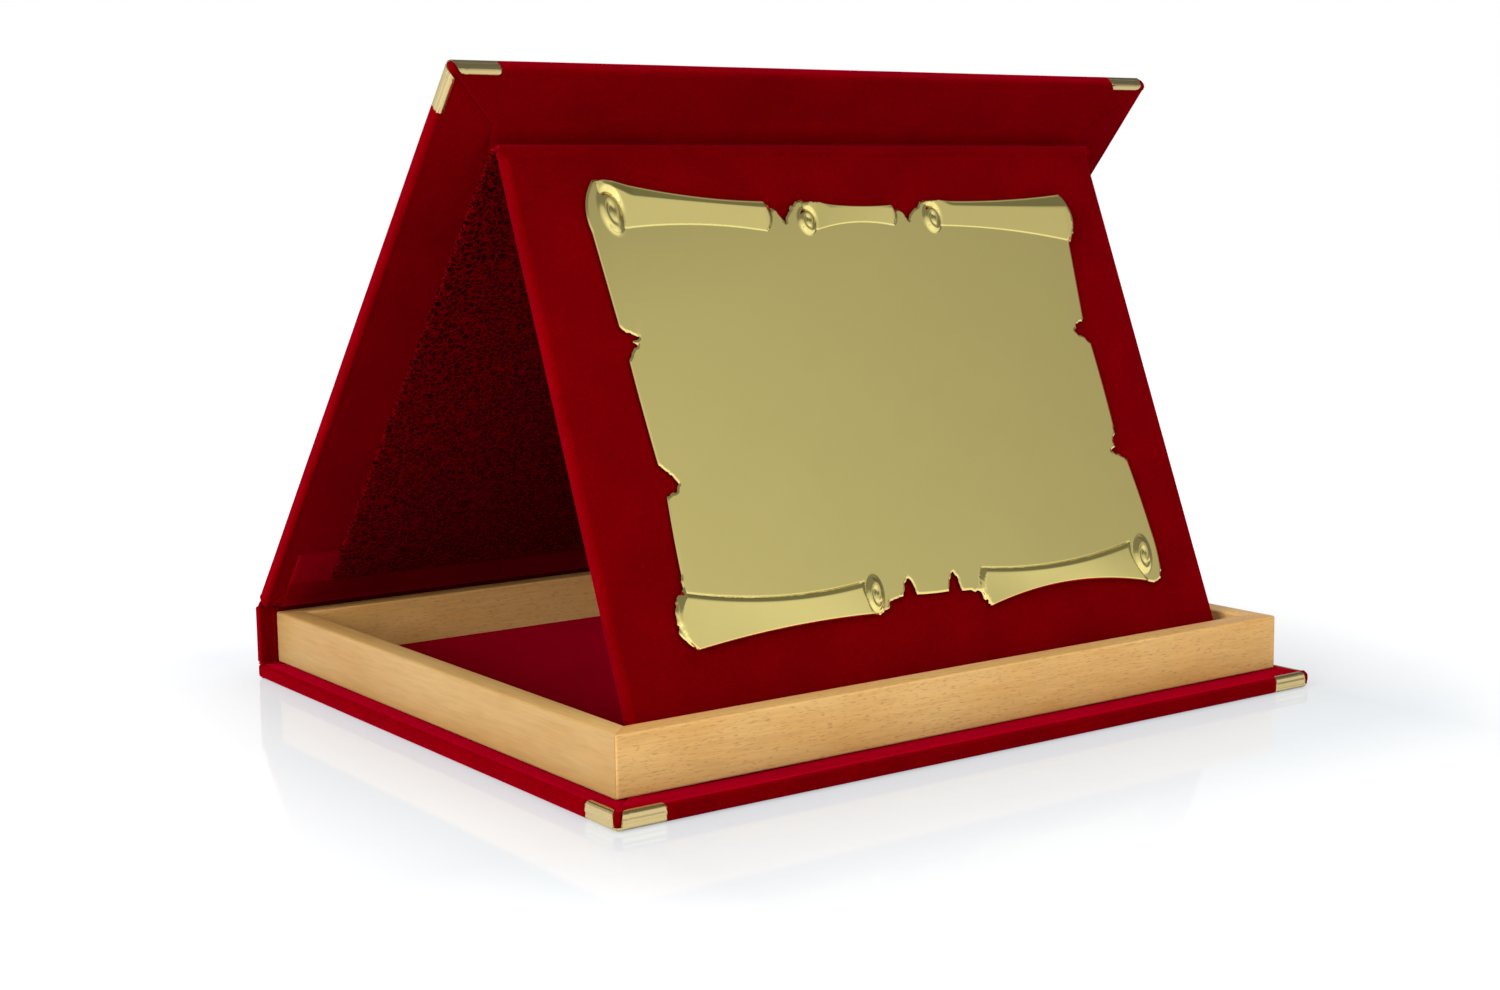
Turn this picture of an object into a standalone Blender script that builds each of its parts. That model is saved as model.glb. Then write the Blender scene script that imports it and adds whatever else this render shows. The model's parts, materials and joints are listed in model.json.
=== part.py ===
"""Award presentation box standing as an easel: a velvet covered book-style case with a beech tray,
a lid on a cloth hinge, and a hinged panel that carries a stamped scroll plate and props the lid open.
Metres, +Z up. The origin is at the centre of the base's underside."""

import math

import bmesh
import bpy
from mathutils import Matrix, Vector

MM = 0.001

# Thickness of the cloth wraps and the running gap between neighbouring pieces
VELVET = 1.0 * MM
GAP = 0.3 * MM

# Base: a covered board that carries the tray frame
BASE_WIDTH = 331.8 * MM
BASE_DEPTH = 288.7 * MM
BOARD_THICKNESS = 6.6 * MM
EDGE_RADIUS = 2.0 * MM
TURN_IN = 21.0 * MM

# Tray frame: four mitred beech rails
RAIL_HEIGHT = 22.0 * MM
RAIL_THICKNESS = 10.0 * MM
SIDE_OVERHANG = 7.4 * MM
FRONT_OVERHANG = 11.8 * MM
FRAME_DEPTH = 272.4 * MM
RAIL_ARRIS = 0.5 * MM
FLOOR_CARD = 1.0 * MM
FLOOR_CLOTH = 0.8 * MM

# Lid, drawn lying flat in front of its hinge and then raised by its display angle
LID_ANGLE = math.radians(49.1)
LID_REACH = 288.0 * MM
LID_START = 1.6 * MM
HINGE_IN_FROM_SPINE = 1.3 * MM
HINGE_HEIGHT = 31.2 * MM
LID_SKIN_OVER_HINGE = 0.95 * MM
BORDER = 26.0 * MM
LINING_SIDE_MARGIN = 26.5 * MM
LINING_TOP_MARGIN = 28.0 * MM
LINING_LOWER_END = 21.0 * MM
LINING_CARD = 0.6 * MM
LINING_CLOTH = 0.4 * MM
STRIP_THICKNESS = 0.6 * MM
STRIP_WIDTH = 316.0 * MM
BEAD_RADIUS = 1.2 * MM

# Easel panel, drawn hanging straight down from its hinge and then tilted
PANEL_TILT = math.radians(22.0)
PANEL_WIDTH = 282.0 * MM
PANEL_THICKNESS = 7.0 * MM
PANEL_HINGE_REACH = 257.0 * MM
PANEL_BEHIND_HINGE = 1.2 * MM
PANEL_START = 1.6 * MM
HINGE_CLEARANCE = 1.5 * MM

# Scroll plate on the panel
PLATE_DROP = 103.9 * MM
PLATE_SHIFT = 2.8 * MM
PLATE_THICKNESS = 0.6 * MM
TAPE_THICKNESS = 0.4 * MM
TAPE_WIDTH = 24.0 * MM
TAPE_HEIGHT = 120.0 * MM
TAPE_PITCH = 80.0 * MM
ROLL_FLATTENING = 0.35

# Corner protectors
CORNER_ARM = 20.0 * MM
CORNER_METAL = 0.4 * MM
CORNER_FLAP = 2.6 * MM
CORNER_NOTCH = 3.4 * MM

# Places that follow from the dimensions above
HALF_WIDTH = BASE_WIDTH / 2
FRONT = -BASE_DEPTH / 2
REAR = BASE_DEPTH / 2
TOP_OF_BASE = BOARD_THICKNESS
FRAME_LEFT = -HALF_WIDTH + SIDE_OVERHANG
FRAME_FRONT = FRONT + FRONT_OVERHANG
FRAME_REAR = FRAME_FRONT + FRAME_DEPTH
FRAME_BOTTOM = TOP_OF_BASE + GAP
FRAME_TOP = TOP_OF_BASE + RAIL_HEIGHT
FLOOR_TOP = FRAME_BOTTOM + FLOOR_CARD + GAP + FLOOR_CLOTH
SPINE_TOP = FRAME_TOP + 0.4 * MM
LID_HINGE = Vector((0, REAR - HINGE_IN_FROM_SPINE, HINGE_HEIGHT))
LID_OUTER = LID_SKIN_OVER_HINGE
LID_INNER = LID_OUTER - BOARD_THICKNESS
LINING_FACE = LID_INNER - GAP - LINING_CARD - GAP - LINING_CLOTH
PANEL_HINGE_LOCAL = Vector((0, -PANEL_HINGE_REACH, LINING_FACE - HINGE_CLEARANCE))
PANEL_HINGE = LID_HINGE + Matrix.Rotation(-LID_ANGLE, 3, "X") @ PANEL_HINGE_LOCAL
FOOT_DROP = PANEL_HINGE.z - FLOOR_TOP - GAP
PANEL_REACH = (FOOT_DROP - PANEL_BEHIND_HINGE * math.sin(PANEL_TILT)) / math.cos(PANEL_TILT)
PANEL_BACK = PANEL_BEHIND_HINGE
PANEL_FRONT = PANEL_BACK - PANEL_THICKNESS
PLATE_BACK = PANEL_FRONT - GAP - TAPE_THICKNESS - GAP

ROUND_STEPS = 24
EDGE_STEPS = 3

# The plate's outline in millimetres from its centre, clockwise from the top left corner
SCROLL_OUTLINE = (
    # top left roll, then the first gap
    (-114.6, 84.0), (-111.0, 87.3), (-106.0, 87.1), (-37.7, 78.8), (-36.0, 74.0), (-34.0, 74.6),
    (-30.1, 70.1),
    # middle roll, then the second gap
    (-26.1, 75.0), (-21.4, 78.2), (-14.2, 78.1), (22.7, 76.1), (26.5, 73.2), (30.4, 69.7),
    # top right roll
    (35.5, 75.0), (40.0, 77.5), (66.0, 77.4), (113.4, 79.4), (116.6, 75.0), (117.6, 66.6), (112.4, 58.0),
    # torn right side
    (108.9, 25.0), (102.1, 20.2), (109.5, 13.7), (109.9, -25.6), (106.8, -27.9), (104.2, -32.0),
    (111.9, -36.0), (114.7, -71.0),
    # bottom right roll
    (113.8, -82.5), (108.6, -87.6), (85.0, -82.8), (56.6, -82.3), (22.4, -86.9), (18.9, -80.6),
    # bottom edge with two nicks
    (9.3, -79.1), (7.3, -71.4), (2.5, -78.6), (-12.4, -78.0), (-14.3, -71.6), (-19.1, -77.9),
    # bottom left roll
    (-29.7, -83.3), (-74.0, -82.5), (-111.6, -86.0), (-117.6, -80.5), (-117.0, -70.0), (-112.6, -62.0),
    # torn left side
    (-110.8, -30.9), (-104.6, -26.8), (-111.3, -18.5), (-113.1, 19.7), (-108.3, 25.1), (-106.7, 28.4),
    (-114.0, 32.5),
)

# Each roll of the scroll: stations of (x, y, radius) in millimetres along its length
SCROLL_ROLLS = (
    ((-109.0, 78.0, 7.5), (-75.0, 75.5, 6.0), (-40.0, 73.0, 5.2)),
    ((-19.0, 72.9, 4.6), (23.0, 72.0, 3.6)),
    ((40.0, 72.0, 5.0), (76.0, 71.5, 5.0), (112.0, 69.5, 8.5)),
    ((-112.0, -75.0, 8.5), (-74.0, -76.8, 5.0), (-32.0, -76.4, 6.0)),
    ((23.5, -79.0, 6.5), (62.0, -77.5, 4.2), (108.0, -78.0, 7.5)),
)


def clear_scene():
    """Removes whatever objects the file holds."""
    for existing in list(bpy.data.objects):
        bpy.data.objects.remove(existing, do_unlink=True)


def make_material(name, colour, roughness, metallic=0.0, sheen=0.0):
    """A Principled material with one colour."""
    material = bpy.data.materials.new(name)
    material.use_nodes = True
    shader = material.node_tree.nodes["Principled BSDF"]
    shader.inputs["Base Color"].default_value = (*colour, 1.0)
    shader.inputs["Roughness"].default_value = roughness
    shader.inputs["Metallic"].default_value = metallic
    shader.inputs["Sheen Weight"].default_value = sheen
    return material


def add_object(name, bm, material=None, parent=None):
    """Turns a bmesh into a named object with outward faces."""
    bmesh.ops.recalc_face_normals(bm, faces=bm.faces)
    mesh = bpy.data.meshes.new(name)
    bm.to_mesh(mesh)
    bm.free()
    piece = bpy.data.objects.new(name, mesh)
    bpy.context.scene.collection.objects.link(piece)
    piece.parent = parent
    if material:
        mesh.materials.append(material)
    return piece


def add_pivot(name, location, tilt, parent=None):
    """An empty on a hinge axis, turned about X."""
    pivot = bpy.data.objects.new(name, None)
    bpy.context.scene.collection.objects.link(pivot)
    pivot.parent = parent
    pivot.location = location
    pivot.rotation_euler.x = tilt
    return pivot


def box_mesh(low, high):
    """A box between two corners."""
    bm = bmesh.new()
    size = Vector(high) - Vector(low)
    centre = (Vector(high) + Vector(low)) / 2
    place = Matrix.Translation(centre) @ Matrix.Diagonal((*size, 1.0))
    bmesh.ops.create_cube(bm, size=1.0, matrix=place)
    return bm


def rounded_box_mesh(low, high, radius, steps=EDGE_STEPS):
    """A box with every edge rounded."""
    bm = box_mesh(low, high)
    bmesh.ops.bevel(
        bm, geom=list(bm.edges), offset=radius, segments=steps, profile=0.5, affect="EDGES"
    )
    return bm


def prism_mesh(outline, place, height):
    """A flat outline of (x, y) points raised along its own +Z, then put in place by a matrix."""
    bm = bmesh.new()
    corners = [bm.verts.new((x, y, 0.0)) for x, y in outline]
    face = bm.faces.new(corners)
    raised = bmesh.ops.extrude_face_region(bm, geom=[face])
    moved = [item for item in raised["geom"] if isinstance(item, bmesh.types.BMVert)]
    bmesh.ops.translate(bm, verts=moved, vec=(0, 0, height))
    bmesh.ops.transform(bm, matrix=place, verts=bm.verts)
    return bm


def cut(piece, cutter, operation="DIFFERENCE"):
    """Gives a piece an exact Boolean with a hidden cutter."""
    cutter.hide_render = True
    cutter.display_type = "WIRE"
    modifier = piece.modifiers.new(cutter.name, "BOOLEAN")
    modifier.operation = operation
    modifier.solver = "EXACT"
    modifier.object = cutter


def smooth_rounds(piece):
    """Smooth shading with sharp edges kept."""
    piece.data.shade_smooth()
    piece.data.set_sharp_from_angle(angle=math.radians(35))


def add_cover(name, low, high, inner_side, turn_in, material, parent=None):
    """A cloth wrap round a board: both faces' edges turned in, with the inner face open in the middle.
    inner_side is +1 or -1, the direction of the open face, and axis 2 is the thickness."""
    low = Vector(low)
    high = Vector(high)
    cover = add_object(name, rounded_box_mesh(low, high, EDGE_RADIUS), material, parent)
    wall = Vector((VELVET, VELVET, VELVET))
    pocket_mesh = rounded_box_mesh(low + wall, high - wall, EDGE_RADIUS - VELVET)
    pocket = add_object(name + "_pocket", pocket_mesh, parent=parent)
    cut(cover, pocket)
    window_low = low + Vector((turn_in, turn_in, 0))
    window_high = high - Vector((turn_in, turn_in, 0))
    middle = (low.z + high.z) / 2
    if inner_side > 0:
        window_low.z = middle
        window_high.z = high.z + BOARD_THICKNESS
    else:
        window_low.z = low.z - BOARD_THICKNESS
        window_high.z = middle
    window = add_object(name + "_window", box_mesh(window_low, window_high), parent=parent)
    cut(cover, window)
    smooth_rounds(cover)
    return cover


def add_board(name, low, high, material, parent=None):
    """The stiff board that fills a cover's pocket, clear of it on every side."""
    depth = VELVET + GAP
    inset = Vector((depth, depth, depth))
    mesh = rounded_box_mesh(Vector(low) + inset, Vector(high) - inset, EDGE_RADIUS - depth)
    return add_object(name, mesh, material, parent)


def corner_region_mesh(corner, inward, low, high, reach, notch):
    """A triangular column over one corner of a board, without the very tip.
    corner is the board's corner in plan and inward the signs that lead back over the board."""
    outside = BOARD_THICKNESS

    def at(along_x, along_y):
        return (corner[0] + inward[0] * along_x, corner[1] + inward[1] * along_y)

    outline = [
        at(notch + outside, -outside),
        at(reach, -outside),
        at(reach, 0),
        at(0, reach),
        at(-outside, reach),
        at(-outside, notch + outside),
    ]
    place = Matrix.Translation((0, 0, low))
    return prism_mesh(outline, place, high - low)


def add_corner(name, board_low, board_high, side, inner_side, material, cover, parent=None):
    """A folded metal protector on a front corner: an outer plate, two edge bands and short inner flaps.
    It lies in a recess pressed into the cover, flush with the cloth."""
    low = Vector(board_low)
    high = Vector(board_high)
    corner = (high.x if side > 0 else low.x, low.y)
    inward = (-side, 1)
    lift = Vector((BOARD_THICKNESS, BOARD_THICKNESS, BOARD_THICKNESS))

    shell = add_object(name, rounded_box_mesh(low, high, EDGE_RADIUS), material, parent)
    metal = Vector((CORNER_METAL, CORNER_METAL, CORNER_METAL))
    core = add_object(
        name + "_core",
        rounded_box_mesh(low + metal, high - metal, EDGE_RADIUS - CORNER_METAL),
        parent=parent,
    )
    cut(shell, core)
    region = add_object(
        name + "_region",
        corner_region_mesh(
            corner, inward, low.z - lift.z, high.z + lift.z, CORNER_ARM, CORNER_NOTCH
        ),
        parent=parent,
    )
    cut(shell, region, "INTERSECT")
    window_low = low + Vector((CORNER_FLAP, CORNER_FLAP, 0))
    window_high = high - Vector((CORNER_FLAP, CORNER_FLAP, 0))
    middle = (low.z + high.z) / 2
    if inner_side > 0:
        window_low.z = middle
        window_high.z = high.z + lift.z
    else:
        window_low.z = low.z - lift.z
        window_high.z = middle
    window = add_object(name + "_window", box_mesh(window_low, window_high), parent=parent)
    cut(shell, window)
    smooth_rounds(shell)

    recess_depth = CORNER_METAL + GAP
    recess = add_object(
        name + "_recess",
        corner_region_mesh(
            corner, inward, low.z - lift.z, high.z + lift.z, CORNER_ARM + GAP, CORNER_NOTCH - 2 * GAP
        ),
        parent=parent,
    )
    deep = Vector((recess_depth, recess_depth, recess_depth))
    kept = add_object(
        name + "_kept",
        rounded_box_mesh(low + deep, high - deep, EDGE_RADIUS - recess_depth),
        parent=parent,
    )
    cut(recess, kept)
    cut(cover, recess)
    return shell


def add_base(materials):
    """The covered base board with its two front corner protectors."""
    low = (-HALF_WIDTH, FRONT, 0)
    high = (HALF_WIDTH, REAR, BOARD_THICKNESS)
    cover = add_cover("base_cover", low, high, 1, TURN_IN, materials["velvet"])
    add_board("base_board", low, high, materials["board"])
    for side, name in ((-1, "base_corner_left"), (1, "base_corner_right")):
        add_corner(name, low, high, side, 1, materials["brass"], cover)


def add_rail(name, outline, material):
    """One mitred rail of the tray frame, from its plan outline."""
    place = Matrix.Translation((0, 0, FRAME_BOTTOM))
    rail = add_object(name, prism_mesh(outline, place, FRAME_TOP - FRAME_BOTTOM), material)
    arris = rail.modifiers.new("arris", "BEVEL")
    arris.width = RAIL_ARRIS
    arris.segments = 1
    arris.limit_method = "ANGLE"
    return rail


def add_tray_frame(materials):
    """Four rails, mitred at 45 degrees with a glue line between them."""
    left = FRAME_LEFT
    right = -FRAME_LEFT
    front = FRAME_FRONT
    rear = FRAME_REAR
    wall = RAIL_THICKNESS
    glue = GAP / 2 * math.sqrt(2)
    wood = materials["beech"]
    add_rail(
        "front_rail",
        [
            (left + glue, front),
            (right - glue, front),
            (right - wall - glue, front + wall),
            (left + wall + glue, front + wall),
        ],
        wood,
    )
    add_rail(
        "rear_rail",
        [
            (left + glue, rear),
            (right - glue, rear),
            (right - wall - glue, rear - wall),
            (left + wall + glue, rear - wall),
        ],
        wood,
    )
    for side, name in ((1, "left_rail"), (-1, "right_rail")):
        outer = side * left
        inner = side * (left + wall)
        add_rail(
            name,
            [
                (outer, front + glue),
                (outer, rear - glue),
                (inner, rear - wall - glue),
                (inner, front + wall + glue),
            ],
            wood,
        )


def add_tray_floor(materials):
    """The card that lies inside the frame and the velvet glued over it."""
    inside = RAIL_THICKNESS + GAP
    left = FRAME_LEFT + inside
    front = FRAME_FRONT + inside
    rear = FRAME_REAR - inside
    card_top = FRAME_BOTTOM + FLOOR_CARD
    card = box_mesh((left, front, FRAME_BOTTOM), (-left, rear, card_top))
    add_object("tray_floor_card", card, materials["board"])
    cloth = box_mesh((left, front, card_top + GAP), (-left, rear, FLOOR_TOP))
    add_object("tray_floor_velvet", cloth, materials["velvet"])


def add_spine(materials):
    """The narrow board behind the frame and the cloth that covers its outside and top."""
    inner = FRAME_REAR + GAP
    board_low = (-HALF_WIDTH + VELVET + GAP, inner + GAP, FRAME_BOTTOM)
    board_high = (HALF_WIDTH - VELVET - GAP, REAR - VELVET - GAP, SPINE_TOP - VELVET - GAP)
    add_object("spine_board", box_mesh(board_low, board_high), materials["board"])
    skin = [
        (REAR, FRAME_BOTTOM),
        (REAR, SPINE_TOP - VELVET),
        (REAR - VELVET, SPINE_TOP),
        (inner, SPINE_TOP),
        (inner, SPINE_TOP - VELVET),
        (REAR - VELVET, SPINE_TOP - VELVET),
        (REAR - VELVET, FRAME_BOTTOM),
    ]
    along_x = Matrix.Translation((-HALF_WIDTH, 0, 0)) @ Matrix(
        ((0, 0, 1, 0), (1, 0, 0, 0), (0, 1, 0, 0), (0, 0, 0, 1))
    )
    add_object("spine_cover", prism_mesh(skin, along_x, BASE_WIDTH), materials["velvet"])


def add_bead(name, material, length, parent):
    """A round roll of hinge cloth along a hinge axis."""
    bm = bmesh.new()
    turned = Matrix.Rotation(math.pi / 2, 4, "Y")
    bmesh.ops.create_cone(
        bm,
        cap_ends=True,
        segments=ROUND_STEPS,
        radius1=BEAD_RADIUS,
        radius2=BEAD_RADIUS,
        depth=length,
        matrix=turned,
    )
    bead = add_object(name, bm, material, parent)
    smooth_rounds(bead)
    return bead


def add_lid(materials, pivot):
    """The covered lid, lying flat in front of its hinge in the pivot's frame."""
    low = (-HALF_WIDTH, -LID_REACH, LID_INNER)
    high = (HALF_WIDTH, -LID_START, LID_OUTER)
    cover = add_cover("lid_cover", low, high, -1, BORDER, materials["velvet"], pivot)
    add_board("lid_board", low, high, materials["board"], pivot)
    for side, name in ((-1, "lid_corner_left"), (1, "lid_corner_right")):
        add_corner(name, low, high, side, -1, materials["brass"], cover, pivot)
    side = HALF_WIDTH - LINING_SIDE_MARGIN
    near = -LID_REACH + LINING_TOP_MARGIN
    card_face = LID_INNER - GAP - LINING_CARD
    card = box_mesh((-side, near, card_face), (side, -LINING_LOWER_END, LID_INNER - GAP))
    add_object("lid_lining_card", card, materials["board"], pivot)
    cloth = box_mesh((-side, near, LINING_FACE), (side, -LINING_LOWER_END, card_face - GAP))
    add_object("lid_lining", cloth, materials["lining"], pivot)
    strip_low = (-STRIP_WIDTH / 2, -LINING_LOWER_END + GAP, LID_INNER - GAP - STRIP_THICKNESS)
    strip_high = (STRIP_WIDTH / 2, -LID_START - EDGE_RADIUS, LID_INNER - GAP)
    add_object("inner_hinge_strip", box_mesh(strip_low, strip_high), materials["velvet"], pivot)


def panel_place():
    """Puts a drawing of the panel's face, x across and y up, on the panel's front side."""
    return Matrix(((1, 0, 0, 0), (0, 0, -1, 0), (0, 1, 0, 0), (0, 0, 0, 1)))


def add_panel(materials, pivot):
    """The covered easel panel, hanging straight down in the pivot's frame."""
    half = PANEL_WIDTH / 2
    upright = panel_place()
    flat = bpy.data.objects.new("panel_drawing", None)
    bpy.context.scene.collection.objects.link(flat)
    flat.parent = pivot
    flat.matrix_local = upright
    low = (-half, -PANEL_REACH, -PANEL_BACK)
    high = (half, -PANEL_START, -PANEL_FRONT)
    add_cover("panel_cover", low, high, -1, TURN_IN, materials["velvet"], flat)
    add_board("panel_board", low, high, materials["board"], flat)
    inset = TURN_IN + GAP
    back_low = (-half + inset, -PANEL_REACH + inset, -PANEL_BACK)
    back_high = (half - inset, -PANEL_START - inset, -PANEL_BACK + VELVET)
    add_object("panel_back_lining", box_mesh(back_low, back_high), materials["velvet"], flat)
    add_plate(materials, flat)
    add_plate_tapes(materials, flat)


def roll_mesh(stations):
    """A low half-round ridge through stations of (x, y, radius), with its foot inside the plate."""
    bm = bmesh.new()
    foot = -PLATE_THICKNESS / 2
    rings = []
    for x, y, radius in stations:
        ring = []
        for step in range(ROUND_STEPS // 2 + 1):
            angle = math.pi * step / (ROUND_STEPS // 2)
            across = radius * math.cos(angle)
            height = max(0.0, radius * math.sin(angle) * ROLL_FLATTENING)
            ring.append(bm.verts.new((x * MM, (y + across) * MM, height * MM + foot)))
        rings.append(ring)
    for first, second in zip(rings, rings[1:]):
        count = len(first)
        for step in range(count):
            after = (step + 1) % count
            bm.faces.new((first[step], first[after], second[after], second[step]))
    bm.faces.new(rings[0])
    bm.faces.new(rings[-1])
    return bm


def add_plate(materials, parent):
    """The stamped scroll plate: a thin sheet with five raised rolls."""
    centre = Matrix.Translation((PLATE_SHIFT, -PLATE_DROP, -PLATE_BACK))
    outline = [(x * MM, y * MM) for x, y in SCROLL_OUTLINE]
    plate = add_object(
        "scroll_plate", prism_mesh(outline, centre, PLATE_THICKNESS), materials["gold"], parent
    )
    face = centre @ Matrix.Translation((0, 0, PLATE_THICKNESS))
    for number, stations in enumerate(SCROLL_ROLLS):
        bm = roll_mesh(stations)
        bmesh.ops.transform(bm, matrix=face, verts=bm.verts)
        roll = add_object(f"scroll_roll_{number}", bm, parent=parent)
        cut(plate, roll, "UNION")
    return plate


def add_plate_tapes(materials, parent):
    """Three strips of mounting tape between the plate and the panel."""
    for place, side in ((-1, "left"), (0, "middle"), (1, "right")):
        x = PLATE_SHIFT + place * TAPE_PITCH
        low = (x - TAPE_WIDTH / 2, -PLATE_DROP - TAPE_HEIGHT / 2, GAP - PANEL_FRONT)
        high = (x + TAPE_WIDTH / 2, -PLATE_DROP + TAPE_HEIGHT / 2, GAP - PANEL_FRONT + TAPE_THICKNESS)
        add_object("mounting_tape_" + side, box_mesh(low, high), materials["tape"], parent)


def main():
    clear_scene()
    materials = {
        "velvet": make_material("velvet", (0.16, 0.002, 0.004), 0.95, sheen=0.6),
        "lining": make_material("lining", (0.05, 0.001, 0.002), 0.9),
        "board": make_material("board", (0.32, 0.29, 0.24), 0.9),
        "beech": make_material("beech", (0.66, 0.42, 0.2), 0.5),
        "gold": make_material("gold", (0.56, 0.5, 0.25), 0.15, metallic=1.0),
        "brass": make_material("brass", (0.5, 0.4, 0.2), 0.25, metallic=1.0),
        "tape": make_material("tape", (0.8, 0.8, 0.78), 0.8),
    }
    add_base(materials)
    add_tray_frame(materials)
    add_tray_floor(materials)
    add_spine(materials)
    lid_pivot = add_pivot("lid_pivot", LID_HINGE, -LID_ANGLE)
    add_bead("lid_hinge_cloth", materials["velvet"], BASE_WIDTH - 2 * MM, lid_pivot)
    add_lid(materials, lid_pivot)
    panel_pivot = add_pivot(
        "panel_pivot", PANEL_HINGE_LOCAL, LID_ANGLE - PANEL_TILT, lid_pivot
    )
    add_bead("panel_hinge_cloth", materials["velvet"], PANEL_WIDTH, panel_pivot)
    add_panel(materials, panel_pivot)


main()
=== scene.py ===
"""Looks of the award presentation box: velvet wraps, figured lining, beech tray, brass corners
and a stamped scroll plate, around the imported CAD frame. Sizes are millimetres; meshes are metres."""

import json
import math
from collections import namedtuple

import bmesh
import bpy
import numpy as np
from mathutils import Matrix, Vector, noise
from mathutils.geometry import delaunay_2d_cdt


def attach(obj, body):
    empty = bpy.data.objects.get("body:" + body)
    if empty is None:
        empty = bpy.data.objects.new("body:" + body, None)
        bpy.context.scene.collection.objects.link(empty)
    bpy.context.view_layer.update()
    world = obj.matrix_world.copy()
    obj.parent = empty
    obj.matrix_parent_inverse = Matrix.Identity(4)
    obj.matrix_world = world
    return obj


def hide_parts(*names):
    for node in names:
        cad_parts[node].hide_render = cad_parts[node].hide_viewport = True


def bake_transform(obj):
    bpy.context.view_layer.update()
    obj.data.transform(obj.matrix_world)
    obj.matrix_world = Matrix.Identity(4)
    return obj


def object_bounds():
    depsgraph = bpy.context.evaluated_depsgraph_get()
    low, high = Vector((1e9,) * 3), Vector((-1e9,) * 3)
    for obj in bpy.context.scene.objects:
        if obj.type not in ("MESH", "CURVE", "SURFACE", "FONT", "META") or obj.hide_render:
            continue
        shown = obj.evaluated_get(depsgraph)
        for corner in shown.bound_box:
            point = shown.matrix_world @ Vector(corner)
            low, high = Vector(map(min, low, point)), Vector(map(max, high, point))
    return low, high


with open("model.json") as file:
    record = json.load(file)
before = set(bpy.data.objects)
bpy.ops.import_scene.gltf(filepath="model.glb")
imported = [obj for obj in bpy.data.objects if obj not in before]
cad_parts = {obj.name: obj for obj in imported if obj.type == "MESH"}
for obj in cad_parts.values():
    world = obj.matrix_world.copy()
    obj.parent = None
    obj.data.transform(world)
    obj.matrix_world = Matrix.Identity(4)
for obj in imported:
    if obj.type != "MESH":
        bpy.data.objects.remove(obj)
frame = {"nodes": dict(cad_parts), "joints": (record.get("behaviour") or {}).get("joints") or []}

MM = 0.001
CAD_LOW, CAD_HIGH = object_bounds()
SIDES = ((-1, "left"), (1, "right"))

# Cloth and board sizes
CLOTH = 0.9
EDGE_RADIUS = 2.0
TURN_IN = 21.0
LID_TURN_IN = 31.0
SPINE_TURN_IN = 10.0
SPINE_RADIUS = 0.8
SPINE_RISE = 2.0
LID_SETBACK = 3.4

# Corner protectors
BRASS_ARM = 19.6
METAL = 0.4
FLAP = 2.6
NOTCH = 2.9
MITRE_GAP = 2.2
PRESSED = 0.55
EDGE_CREASE = 0.3
TIP_LENGTH = 4.4
ARM_ROUNDING = 2.4

# Beech rails
ARRIS = 0.9
PLAN_ROUNDING = 1.1
GLUE_GAP = 0.06

# Places of the two hinges and the tilts of the boards they carry
JOINTS = {joint["name"]: joint for joint in frame["joints"]}
LID_ANGLE = math.radians(180.0 - JOINTS["lid_hinge"]["range_deg"][1])
PANEL_TILT = math.radians(22.0)
LID = Matrix.Translation(JOINTS["lid_hinge"]["pos_m"]) @ Matrix.Rotation(-LID_ANGLE, 4, "X")
UPRIGHT = Matrix(((1, 0, 0, 0), (0, 0, -1, 0), (0, 1, 0, 0), (0, 0, 0, 1)))
PANEL = Matrix.Translation(JOINTS["panel_hinge"]["pos_m"])
PANEL @= Matrix.Rotation(-PANEL_TILT, 4, "X") @ UPRIGHT
WORLD = Matrix.Identity(4)


# ---- materials

def make_material(name):
    """A new material and its nodes."""
    material = bpy.data.materials.new(name)
    material.use_nodes = True
    return material, material.node_tree


def is_socket(value):
    """Whether a value is a node's socket."""
    return isinstance(value, bpy.types.NodeSocket)


def connect(socket, value):
    """Joins a socket to another one, or gives it a value."""
    if is_socket(value):
        socket.id_data.links.new(value, socket)
    else:
        socket.default_value = value


def add_node(kind, inputs, **settings):
    """A shader node, in the tree of the first socket among its inputs."""
    tree = next(value.id_data for value in inputs.values() if is_socket(value))
    node = tree.nodes.new("ShaderNode" + kind)
    for key, value in settings.items():
        setattr(node, key, value)
    for key, value in inputs.items():
        connect(node.inputs[key], value)
    return node


def source(tree, kind, output):
    """The output of a new node that has no inputs."""
    return tree.nodes.new("ShaderNode" + kind).outputs[output]


def ramp(factor, *stops):
    """A colour ramp through (place, grey) stops."""
    node = add_node("ValToRGB", {"Fac": factor})
    elements = node.color_ramp.elements
    while len(elements) < len(stops):
        elements.new(0.5)
    for element, (place, grey) in zip(elements, stops):
        element.position = place
        element.color = (grey, grey, grey, 1)
    return node.outputs["Color"]


def calculate(operation, first, second=0.0):
    """One arithmetic step."""
    return add_node("Math", {0: first, 1: second}, operation=operation).outputs[0]


def tint(factor, first, second, blend="MIX"):
    """A mix of two colours."""
    first, second = (colour if is_socket(colour) else (*colour, 1) for colour in (first, second))
    inputs = {0: factor, 6: first, 7: second}
    return add_node("Mix", inputs, data_type="RGBA", blend_type=blend).outputs[2]


def darken(shade, amount, pattern, *stops):
    """A colour multiplied by the ramp of a pattern."""
    return tint(amount, shade, ramp(pattern, *stops), "MULTIPLY")


def scaled(colour, factor):
    """A colour with each part multiplied."""
    return tuple(factor * part for part in colour)


def object_space(tree, stretch=(1, 1, 1), shift=(0, 0, 0)):
    """Object coordinates, stretched and shifted."""
    inputs = {"Vector": source(tree, "TexCoord", "Object"), "Scale": stretch, "Location": shift}
    return add_node("Mapping", inputs).outputs["Vector"]


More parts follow.
